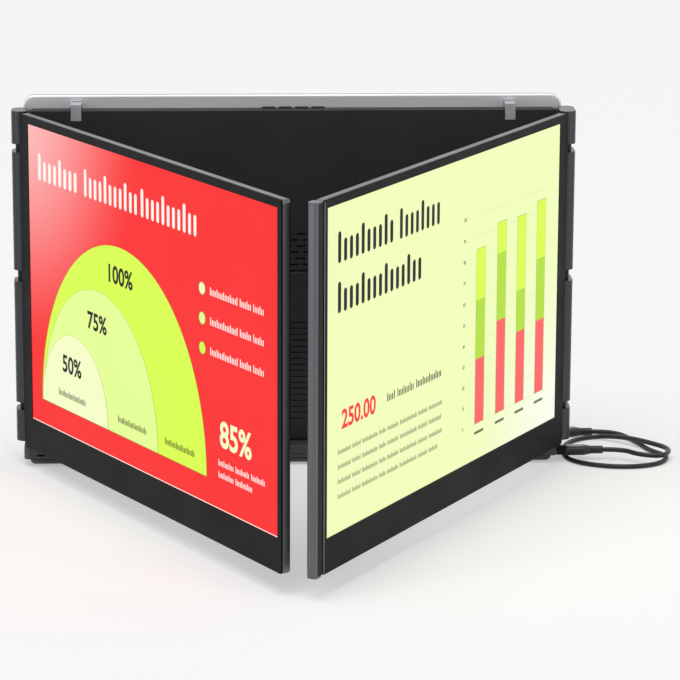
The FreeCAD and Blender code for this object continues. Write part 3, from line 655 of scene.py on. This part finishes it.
# Right picture: a ruled scale from 0 to 100 in tens
RULE_TOP = 42.6
RULE_FLOOR = 189.2
RULE_STEPS = 10
RULE_ENDS = (205.0, 326.0)
RULE_HALF = 0.15
SCALE_X = 194.5
SCALE_HEIGHT = 2.6

# Right picture: each bar's left side, and the tops of its lime, green and coral parts
BAR_WIDTH = 13.6
BAR_RIM = 0.35
BARS = ((212.8, (66.4, 101.9, 143.5)), (245.4, (53.6, 75.4, 123.0)),
        (277.0, (55.0, 108.0, 137.6)), (309.0, (49.7, 91.5, 136.2)))
BAR_WORD = (195.0, 197.0)
BAR_WORD_PAST = 0.5

# Where each ground's paler glow comes from, and how far it reaches in metres
LEFT_GLOW_AT = (-30, -30)
LEFT_GLOW_REACH = 0.20
RIGHT_GLOW_AT = (350, 230)
RIGHT_GLOW_REACH = 0.16

# The right wing's trim lies left of its lit area: a dark strip on the grip, and a grey line along the
# bezel's edge that is a painted highlight of its chamfer; it stops short of the grip's rounded ends
GRIP_STRIP = (-12.4, -6.4)
BEZEL_HIGHLIGHT_LINE = (-4.4, -3.8)
GRIP_ROUND = 1.0

# How far the bezel stands before the glass, and the trim before the bezel, in metres
BEZEL_STEP = 0.4 * MM
TRIM_LIFT = 0.04 * MM

# Points this close to the foremost one belong to the lit face, in metres
FACE_DEPTH = 0.05 * MM


def screen_axes(side):
    """The lit face's upper left corner, its two directions and the way it looks, from its CAD node.

    The lit face is the largest one that looks to the front; its corners are
    the ends of that face along and up.
    """
    mesh = NODES["display_panel_" + side].data
    lit_face = max((face for face in mesh.polygons if face.normal.y < 0), key=lambda face: face.area)
    toward = lit_face.normal.copy()
    up = Vector((0, 0, 1))
    across = up.cross(toward).normalized()
    points = [vertex.co for vertex in mesh.vertices]
    front = max(point.dot(toward) for point in points)
    lit = [point for point in points if point.dot(toward) > front - FACE_DEPTH]
    left = min(point.dot(across) for point in lit)
    top = max(point.z for point in lit)
    corner = across * left + toward * front + up * top
    return corner, across, -up, toward


def screen_place(side, across_mm, down_mm):
    """A place on a display or beside it."""
    corner, across, down, toward = screen_axes(side)
    return corner + across * (across_mm * MM) + down * (down_mm * MM)


class Picture:
    """A flat picture on one display, drawn in millimetres from its upper left corner."""

    def __init__(self, side, lift, base=0.0):
        self.side = side
        self.lift = lift
        self.base = base
        self.corner, self.across, self.down, self.toward = screen_axes(side)
        self.mesh = bmesh.new()
        self.inks = []

    def ink(self, material):
        """The place of a material in the picture's list."""
        if material not in self.inks:
            self.inks.append(material)
        return self.inks.index(material)

    def point(self, x, y, layer):
        """Adds a corner at a place of the picture; each layer lies before the last."""
        return self.mesh.verts.new(self.corner + self.across * (x * MM) + self.down * (y * MM)
                                   + self.toward * (self.base + self.lift * (layer + 1)))

    def fill(self, points, material):
        """Adds a face between corners, turned to look out of the display."""
        face = self.mesh.faces.new(points)
        face.material_index = self.ink(material)
        face.normal_update()
        if face.normal.dot(self.toward) < 0:
            face.normal_flip()

    def shape(self, outline, material, layer):
        """Fills a closed outline of (x, y) points."""
        self.fill([self.point(x, y, layer) for x, y in outline], material)

    def box(self, x0, y0, x1, y1, material, layer):
        """A plain rectangle."""
        self.shape([(x0, y0), (x1, y0), (x1, y1), (x0, y1)], material, layer)

    def pill(self, x0, y0, x1, y1, material, layer):
        """A bar with round ends."""
        radius = min(x1 - x0, y1 - y0) / 2
        outline = []
        for x, y, start in ((x1 - radius, y1 - radius, 0), (x0 + radius, y1 - radius, 90),
                            (x0 + radius, y0 + radius, 180), (x1 - radius, y0 + radius, 270)):
            for step in range(PILL_STEPS + 1):
                angle = math.radians(start + 90 * step / PILL_STEPS)
                outline.append((x + radius * math.cos(angle), y + radius * math.sin(angle)))
        self.shape(outline, material, layer)

    def words(self, spans, top, height, material, layer=0):
        """Rows of upright strokes that stand for words and spell nothing."""
        gap = height * GAP_SHARE
        for x0, x1 in spans:
            count = max(1, round((x1 - x0 + gap) / (height * STROKE_SHARE + gap)))
            pitch = (x1 - x0 + gap) / count
            for index in range(count):
                x = x0 + index * pitch
                drop = 0 if index % TALL_EVERY == 0 else height * SHORT_SHARE
                self.pill(x, top + drop, x + pitch - gap, top + height, material, layer)

    def disc(self, x, y, radius, material, layer):
        """A round spot."""
        turn = 2 * math.pi / DISC_STEPS
        self.shape([(x + radius * math.cos(turn * step), y + radius * math.sin(turn * step))
                    for step in range(DISC_STEPS)], material, layer)

    def half_disc(self, x, across, tall, base, material, layer):
        """The upper half of an ellipse that stands on a base line."""
        turn = math.pi / HALF_DISC_STEPS
        self.shape([(x + across * math.cos(turn * step), base - tall * math.sin(turn * step))
                    for step in range(HALF_DISC_STEPS + 1)], material, layer)

    def number(self, text, x, y, height, material, layer=0):
        """A plain number, centred on a point."""
        curve = bpy.data.curves.new("number", "FONT")
        curve.body = text
        curve.size = 1.0
        curve.align_x = "CENTER"
        curve.align_y = "CENTER"
        curve.resolution_u = NUMBER_SMOOTH
        curve.offset = NUMBER_BOLD
        holder = bpy.data.objects.new("number", curve)
        bpy.context.scene.collection.objects.link(holder)
        flat = bpy.data.meshes.new_from_object(holder.evaluated_get(bpy.context.evaluated_depsgraph_get()))
        top = max(vertex.co.y for vertex in flat.vertices)
        foot = min(vertex.co.y for vertex in flat.vertices)
        scale = height / (top - foot)
        middle = (top + foot) / 2
        points = [self.point(x + vertex.co.x * scale, y - (vertex.co.y - middle) * scale, layer)
                  for vertex in flat.vertices]
        for face in flat.polygons:
            self.fill([points[index] for index in face.vertices], material)
        bpy.data.objects.remove(holder)
        bpy.data.curves.remove(curve)
        bpy.data.meshes.remove(flat)

    def hang(self, name):
        """Makes the shapes one object that rides on its wing."""
        picture = mesh_object(name + "_" + self.side, self.mesh, self.inks)
        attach(picture, "wing_" + self.side)


def draw_half_discs(screens):
    """The left picture: three half discs on one base line, a key and plain numbers."""
    picture = Picture("left", screens.ink_lift)
    lime = lit_ink("lit lime", screens.lime)
    pale = lit_ink("lit pale lime", linear("#E6FF96"))
    palest = lit_ink("lit palest lime", linear("#F6FFC8"))
    rim = lit_ink("lit rim", linear("#7A8F2A"))
    white = lit_ink("lit white", linear("#FFF6F0"))
    black = lit_ink("lit black", linear("#16181A"))
    for index, (disc, material) in enumerate(zip(HALF_DISCS, (lime, pale, palest))):
        picture.half_disc(disc["x"], disc["across"] + RIM, disc["tall"] + RIM, BASE_LINE, rim, 2 * index)
        picture.half_disc(**disc, base=BASE_LINE - RIM_BELOW, material=material, layer=2 * index + 1)
    above = 2 * len(HALF_DISCS)
    for share in SHARES:
        picture.number(**share, height=SHARE_HEIGHT, material=black, layer=above)
    picture.words(**DISC_WORDS, material=black, layer=above)
    picture.words(**LEFT_HEADING, material=white)
    for row, material in enumerate((palest, pale, lime)):
        y = KEY_TOP + KEY_PITCH * row
        picture.disc(KEY_X, y, KEY_RADIUS + RIM, rim, 0)
        picture.disc(KEY_X, y, KEY_RADIUS, material, 1)
        picture.words(KEY_SPANS, y - KEY_HEIGHT / 2, KEY_HEIGHT, white)
    picture.number(**LARGE_SHARE, material=palest)
    for line in SHARE_WORDS:
        picture.words(**line, material=white)
    picture.box(*LAST_LINE, white, 0)
    picture.hang("picture")


def line_spans(end):
    """A line of small words that stops at its end."""
    spans = []
    x = LINE_START
    for word in WORD_LENGTHS:
        last = min(x + word, end)
        if last - x > LEAST_WORD:
            spans.append((x, last))
        x = last + WORD_GAP
    return spans


def draw_bars(screens):
    """The right picture: four stacked bars on a ruled scale, with lines that stand for words."""
    picture = Picture("right", screens.ink_lift)
    lime = lit_ink("lit bar lime", screens.lime)
    green = lit_ink("lit bar green", screens.green)
    coral = lit_ink("lit bar coral", screens.coral)
    red = lit_ink("lit red", linear("#FF3434"))
    black = lit_ink("lit heading black", linear("#16181A"))
    grey = lit_ink("lit line grey", linear("#6E7358"))
    faint = lit_ink("lit rule", linear("#DCE8B4"))
    rim = lit_ink("lit bar rim", linear("#9AAA52"))
    for line in RIGHT_HEADING:
        picture.words(**line, material=black)
    picture.number(**AMOUNT, material=red)
    picture.words(**AMOUNT_WORDS, material=black)
    for row, end in enumerate(LINE_ENDS):
        picture.words(line_spans(end), LINE_TOP + LINE_PITCH * row, LINE_HEIGHT, grey)
    for step in range(RULE_STEPS + 1):
        y = RULE_FLOOR + (RULE_TOP - RULE_FLOOR) * step / RULE_STEPS
        picture.box(RULE_ENDS[0], y - RULE_HALF, RULE_ENDS[1], y + RULE_HALF, faint, 0)
        picture.number(str(100 * step // RULE_STEPS), SCALE_X, y, SCALE_HEIGHT, grey)
    for left, tops in BARS:
        right = left + BAR_WIDTH
        picture.box(left - BAR_RIM, tops[0] - BAR_RIM, right + BAR_RIM, RULE_FLOOR + BAR_RIM, rim, 1)
        for upper, lower, material in zip(tops, tops[1:] + (RULE_FLOOR,), (lime, green, coral)):
            picture.box(left, upper, right, lower, material, 2)
        picture.pill(left - BAR_WORD_PAST, BAR_WORD[0], right + BAR_WORD_PAST, BAR_WORD[1], grey, 0)
    picture.hang("picture")


def draw_grip_trim(finish):
    """The right wing's free end: a black strip on the grip and a grey line along the bezel's edge, a
    painted highlight of its chamfer.
    """
    low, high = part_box("front_bezel_right")
    trim = Picture("right", TRIM_LIFT, BEZEL_STEP)
    top = (trim.corner.z - high[2]) / MM + GRIP_ROUND
    foot = (trim.corner.z - low[2]) / MM - GRIP_ROUND
    strip = satin_abs("satin black grip strip", finish.bezel, low=0.38, high=0.48, sheen=0.12)
    # A grey line painted as the highlight on the bezel's chamfer
    line = bead_blasted_aluminium("painted chamfer highlight aluminium", linear("#9A9C9F"), low=0.25, high=0.32)
    trim.box(GRIP_STRIP[0], top, GRIP_STRIP[1], foot, strip, 0)
    trim.box(BEZEL_HIGHLIGHT_LINE[0], top, BEZEL_HIGHLIGHT_LINE[1], foot, line, 0)
    trim.hang("grip_trim")


class EXTENDER_OT_pictures(bpy.types.Operator):
    """Light both displays and draw a plain chart on each"""
    bl_idname = "extender.pictures"
    bl_label = "Lit pictures"

    def execute(self, context):
        screens = context.scene.extender_screens
        red = lit_ground("lit red display", screens.left_ground, screens.left_glow,
                         screen_place("left", *LEFT_GLOW_AT), LEFT_GLOW_REACH)
        lime = lit_ground("lit lime display", screens.right_ground, screens.right_glow,
                          screen_place("right", *RIGHT_GLOW_AT), RIGHT_GLOW_REACH)
        paint(["display_panel_left"], red)
        paint(["display_panel_right"], lime)
        draw_half_discs(screens)
        draw_bars(screens)
        draw_grip_trim(context.scene.extender_finish)
        return {"FINISHED"}


# Cable, with the route's points in metres

CABLE_ROUTE = [
    (0.2260, 0.0560, 0.0035),
    (0.2430, 0.0560, 0.0035),
    (0.2560, 0.0350, 0.0019),
    (0.2630, 0.0080, 0.0019),
    (0.2755, -0.0080, 0.0019),
    (0.2675, -0.0280, 0.0019),
    (0.2450, -0.0370, 0.0019),
    (0.2190, -0.0320, 0.0019),
    (0.1995, -0.0160, 0.0019),
    (0.1985, 0.0120, 0.0019),
    (0.2070, 0.0360, 0.0019),
    (0.2290, 0.0500, 0.0019),
    (0.2500, 0.0320, 0.0054),
    (0.2640, 0.0140, 0.0063),
    (0.2775, -0.0040, 0.0063),
    (0.2700, -0.0240, 0.0063),
    (0.2520, -0.0210, 0.0068),
    (0.2412, -0.0090, 0.0076),
    (0.2263, -0.0090, 0.0076),
]


def cable_curve(diameter):
    """The cable as one smooth NURBS line from the loose plug to the seated one."""
    curve = bpy.data.curves.new("usb_cable", "CURVE")
    curve.dimensions = "3D"
    spline = curve.splines.new("NURBS")
    spline.points.add(len(CABLE_ROUTE) - 1)
    for point, place in zip(spline.points, CABLE_ROUTE):
        point.co = (place[0], place[1], place[2], 1.0)
    spline.order_u = 3
    spline.use_endpoint_u = True
    spline.resolution_u = 12
    curve.bevel_depth = diameter / 2
    curve.bevel_resolution = 6
    curve.use_fill_caps = True
    cable = bpy.data.objects.new("usb_cable", curve)
    bpy.context.scene.collection.objects.link(cable)
    return cable


# A plug's lighter top plate, a painted highlight of its flat upper face: how far along the plug each corner
# lies, with its half width there
HIGHLIGHT_PLATE_OUTLINE = ((0.8 * MM, 2.6 * MM), (10.5 * MM, 2.6 * MM), (13.2 * MM, 1.9 * MM))
HIGHLIGHT_PLATE_RISE = 0.1 * MM
HIGHLIGHT_PLATE_DEPTH = 0.4 * MM
HIGHLIGHT_PLATE_ROUND = 0.12 * MM


def plug_highlight_plate(end, colour):
    """A lighter flat plate on top of a plug, narrower toward the cable: a painted highlight where light
    from above falls on the top face.
    """
    low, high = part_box(end + "_plug")
    middle = (low[1] + high[1]) / 2
    outline = [(low[0] + x, middle - half) for x, half in HIGHLIGHT_PLATE_OUTLINE]
    outline += [(low[0] + x, middle + half) for x, half in HIGHLIGHT_PLATE_OUTLINE[::-1]]
    shape = bmesh.new()
    top = [shape.verts.new((x, y, high[2] + HIGHLIGHT_PLATE_RISE)) for x, y in outline]
    walls = bmesh.ops.extrude_face_region(shape, geom=[shape.faces.new(top)])
    for corner in walls["geom"]:
        if isinstance(corner, bmesh.types.BMVert):
            corner.co.z -= HIGHLIGHT_PLATE_DEPTH
    bmesh.ops.recalc_face_normals(shape, faces=shape.faces)
    rim = [edge for edge in shape.edges if edge.verts[0] in top and edge.verts[1] in top]
    bmesh.ops.bevel(shape, geom=rim, offset=HIGHLIGHT_PLATE_ROUND, segments=2, affect="EDGES")
    pad = mesh_object(end + "_plug_highlight_plate", shape,
                      [satin_abs("satin plug pad", colour, low=0.3, high=0.4, sheen=0.5)])
    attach(pad, "bracket")
    return pad


class EXTENDER_OT_cable(bpy.types.Operator):
    """Lay the USB-C cable and finish its plugs"""
    bl_idname = "extender.cable"
    bl_label = "Cable and plugs"

    def execute(self, context):
        cord = context.scene.extender_cord
        cable = cable_curve(cord.diameter)
        cable.data.materials.append(cable_jacket(cord.jacket))
        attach(cable, "bracket")
        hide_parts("cable")
        moulding = satin_abs("satin plug TPE", cord.moulding, low=0.4, high=0.5, sheen=0.4)
        paint(["seated_plug", "loose_plug"], moulding)
        paint(["seated_plug_collar", "loose_plug_collar"], moulded_rubber("black plug collar", cord.jacket))
        paint(["seated_plug_tongue", "loose_plug_tongue"], ground_steel())
        plugs = [NODES[name] for name in ("seated_plug", "seated_plug_collar", "seated_plug_tongue",
                                          "loose_plug", "loose_plug_collar", "loose_plug_tongue")]
        # Lighter plates on the plugs' tops: a painted highlight of the top faces
        plugs += [plug_highlight_plate("seated", cord.pad), plug_highlight_plate("loose", cord.pad)]
        return {"FINISHED"}


# Stage, in metres

FLOOR_HALF = 12.0
CLIP_END = 50.0
SENSOR_MM = 36.0

# How the overhead lamp leans to the front and the left
OVERHEAD_LEAN = (math.radians(14), math.radians(-10), 0)

# The right strip's place, a strip's width and height, and the point that both strips face
STRIP_PLACE = (1.5, -1.2, 0.6)
STRIP_SIZE = (0.16, 1.3)
STRIP_AIM = (0.0, -0.12, 0.13)

# How far along Y a direction points where the dim room ends and where the pale ground begins
ROOM_END = -0.7
GROUND_START = 0.25


def strip_lamp(name, side, watts):
    """A narrow soft lamp that faces the object, to its left for a side of -1."""
    place = Vector((side * STRIP_PLACE[0], STRIP_PLACE[1], STRIP_PLACE[2]))
    light = bpy.data.lights.new(name, "AREA")
    light.shape = "RECTANGLE"
    light.size, light.size_y = STRIP_SIZE
    light.energy = watts
    lamp = bpy.data.objects.new(name, light)
    lamp.location = place
    lamp.rotation_euler = (Vector(STRIP_AIM) - place).to_track_quat("-Z", "Y").to_euler()
    bpy.context.scene.collection.objects.link(lamp)


def overhead_lamp(strength, spread):
    """One very wide soft light from above, a little from the front and the left."""
    light = bpy.data.lights.new("overhead", "SUN")
    light.energy = strength
    light.angle = spread
    lamp = bpy.data.objects.new("overhead", light)
    lamp.rotation_euler = OVERHEAD_LEAN
    bpy.context.scene.collection.objects.link(lamp)


def studio_floor(colour, glow):
    """A wide flat floor under the foot."""
    outline = [(-FLOOR_HALF, -FLOOR_HALF, 0), (FLOOR_HALF, -FLOOR_HALF, 0),
               (FLOOR_HALF, FLOOR_HALF, 0), (-FLOOR_HALF, FLOOR_HALF, 0)]
    mesh = bpy.data.meshes.new("studio_floor")
    mesh.from_pydata(outline, [], [(0, 1, 2, 3)])
    mesh.materials.append(studio_paper(colour, glow))
    floor = bpy.data.objects.new("studio_floor", mesh)
    bpy.context.scene.collection.objects.link(floor)


def studio_world(stage):
    """Soft light all round, darker on the camera's side, where a studio's room is.

    What the eye sees of it, straight or in a reflection, is the pale ground behind
    the object and the dim room before it.
    """
    world = bpy.data.worlds.new("studio")
    bpy.context.scene.world = world
    world.use_nodes = True
    tree = world.node_tree
    tree.nodes.clear()
    way = add(tree, "ShaderNodeTexCoord")
    parts = add(tree, "ShaderNodeSeparateXYZ", links={0: way.outputs["Generated"]})
    behind = add(tree, "ShaderNodeMapRange",
                 {"From Min": ROOM_END, "From Max": GROUND_START, "To Min": 0.0, "To Max": 1.0},
                 {"Value": parts.outputs["Y"]}, interpolation_type="SMOOTHSTEP")
    tone = add(tree, "ShaderNodeValToRGB", links={"Fac": behind.outputs["Result"]})
    tone.color_ramp.elements[0].color = opaque(stage.room)
    tone.color_ramp.elements[1].color = opaque(stage.ground)
    shown = add(tree, "ShaderNodeBackground", {"Strength": 1.0}, {"Color": tone.outputs["Color"]})
    soft = add(tree, "ShaderNodeBackground", {"Color": (1.0, 1.0, 1.0, 1.0), "Strength": stage.fill})
    mixed = add(tree, "ShaderNodeMixShader",
                links={0: seen_rays(tree), 1: soft.outputs[0], 2: shown.outputs[0]})
    add(tree, "ShaderNodeOutputWorld", links={"Surface": mixed.outputs[0]})


def camera_matrix(stage):
    """The photograph's view: pitched down, turned and rolled a little."""
    ahead = Vector((math.sin(stage.yaw), math.cos(stage.yaw), 0))
    right = Vector((math.cos(stage.yaw), -math.sin(stage.yaw), 0))
    forward = ahead * math.cos(stage.pitch) - Vector((0, 0, math.sin(stage.pitch)))
    up = ahead * math.sin(stage.pitch) + Vector((0, 0, math.cos(stage.pitch)))
    x_axis = right * math.cos(stage.roll) + up * math.sin(stage.roll)
    y_axis = up * math.cos(stage.roll) - right * math.sin(stage.roll)
    matrix = Matrix((x_axis, y_axis, -forward)).transposed().to_4x4()
    matrix.translation = Vector(stage.eye)
    return matrix


def photograph_camera(stage):
    """The camera that stands where the photograph was taken."""
    camera = bpy.data.cameras.new("camera")
    camera.lens = stage.lens
    camera.sensor_width = SENSOR_MM
    camera.clip_end = CLIP_END
    viewer = bpy.data.objects.new("camera", camera)
    viewer.matrix_world = camera_matrix(stage)
    bpy.context.scene.collection.objects.link(viewer)
    bpy.context.scene.camera = viewer


class EXTENDER_OT_stage(bpy.types.Operator):
    """Set up the floor, lamps, background and camera"""
    bl_idname = "extender.stage"
    bl_label = "Studio"

    def execute(self, context):
        stage = context.scene.extender_stage
        studio_floor(stage.ground, stage.floor_glow)
        studio_world(stage)
        overhead_lamp(stage.overhead, stage.spread)
        strip_lamp("left strip", -1, stage.strips)
        strip_lamp("right strip", 1, stage.strips)
        photograph_camera(stage)
        context.scene.view_settings.view_transform = "Standard"
        return {"FINISHED"}


# Panel and registration

OPERATORS = (EXTENDER_OT_stage, EXTENDER_OT_cable, EXTENDER_OT_bracket, EXTENDER_OT_hinges,
             EXTENDER_OT_wings, EXTENDER_OT_pictures)
SETTINGS = (("extender_finish", FinishSettings), ("extender_screens", ScreenSettings),
            ("extender_cord", CordSettings), ("extender_stage", StageSettings))


class EXTENDER_PT_panel(bpy.types.Panel):
    """The extender's settings and steps"""
    bl_idname = "EXTENDER_PT_panel"
    bl_label = "Screen extender"
    bl_space_type = "VIEW_3D"
    bl_region_type = "UI"
    bl_category = "Extender"

    def draw(self, context):
        for group_name, group in SETTINGS:
            box = self.layout.box()
            for name in group.__annotations__:
                box.prop(getattr(context.scene, group_name), name)
        for operator in OPERATORS:
            self.layout.operator(operator.bl_idname)


def register():
    for name, group in SETTINGS:
        bpy.utils.register_class(group)
        setattr(bpy.types.Scene, name, PointerProperty(type=group))
    for kind in OPERATORS + (EXTENDER_PT_panel,):
        bpy.utils.register_class(kind)


def unregister():
    for kind in (EXTENDER_PT_panel,) + OPERATORS[::-1]:
        bpy.utils.unregister_class(kind)
    for name, group in SETTINGS[::-1]:
        delattr(bpy.types.Scene, name)
        bpy.utils.unregister_class(group)


def main():
    register()
    bpy.ops.extender.stage()
    bpy.ops.extender.cable()
    bpy.ops.extender.bracket()
    bpy.ops.extender.hinges()
    bpy.ops.extender.wings()
    bpy.ops.extender.pictures()


if __name__ == "__main__":
    main()
